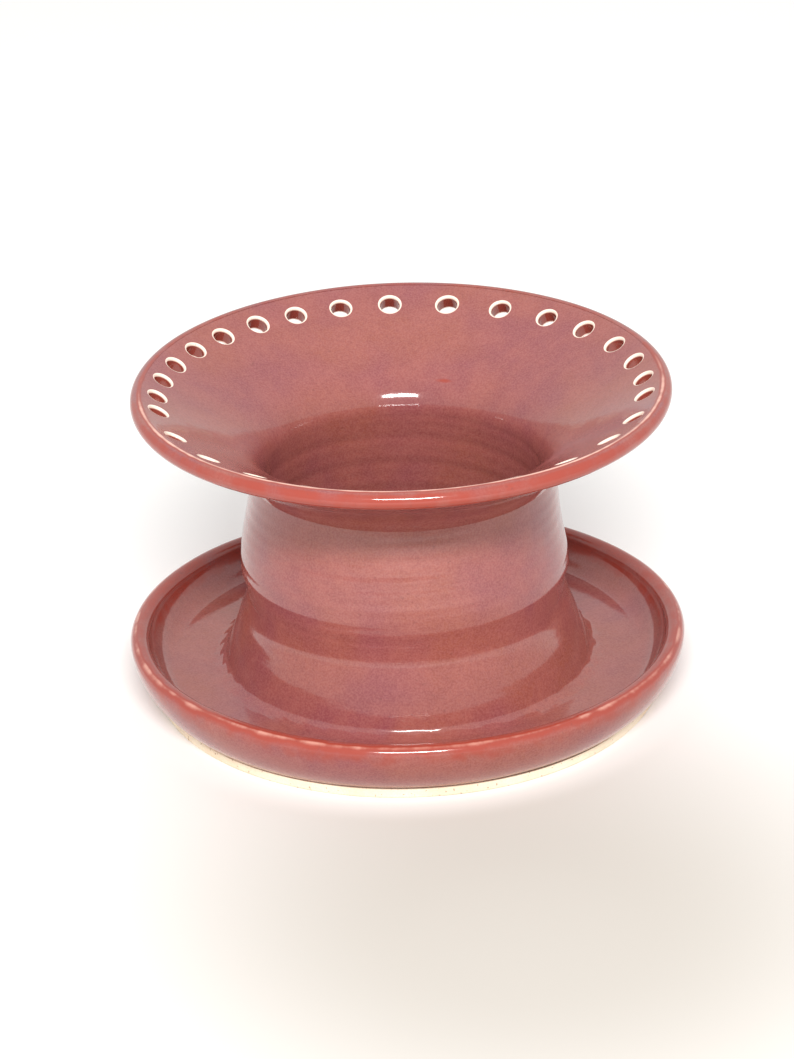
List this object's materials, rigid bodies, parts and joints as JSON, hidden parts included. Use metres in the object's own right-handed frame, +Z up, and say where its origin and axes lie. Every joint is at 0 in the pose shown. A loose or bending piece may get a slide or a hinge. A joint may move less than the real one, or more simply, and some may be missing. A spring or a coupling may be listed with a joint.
{
  "type": "flower frog",
  "caption": "Glazed ceramic flower frog: a moat saucer with a hollow waist and a wide flared collar, whose edge has a ring of stem holes.",
  "frame": {"origin": "centre of the foot's underside, on the surface that the pot stands on", "axes": "+Z up, along the axis that the pot was thrown around; -Y is the front"},
  "size_m": [0.174, 0.174, 0.1011],
  "materials": {
    "bare_clay": "unglazed cream stoneware, turned and sponged, matt",
    "saucer_glaze": "glossy dusty-rose glaze with a fine mauve and brown mottle, breaking orange-red where it is thin on the lip",
    "waist_glaze": "glossy dusty-rose glaze with a fine mauve and brown mottle over soft throwing rings",
    "collar_glaze": "glossy dusty-rose glaze, orange-red on the rim, thin and pale on the cut edges of the stem holes"
  },
  "bodies": {
    "root": {"foot_ring": "bare_clay", "saucer": "saucer_glaze", "waist": "waist_glaze", "funnel": "collar_glaze", "stem_collar": "collar_glaze"}
  },
  "joints": []
}
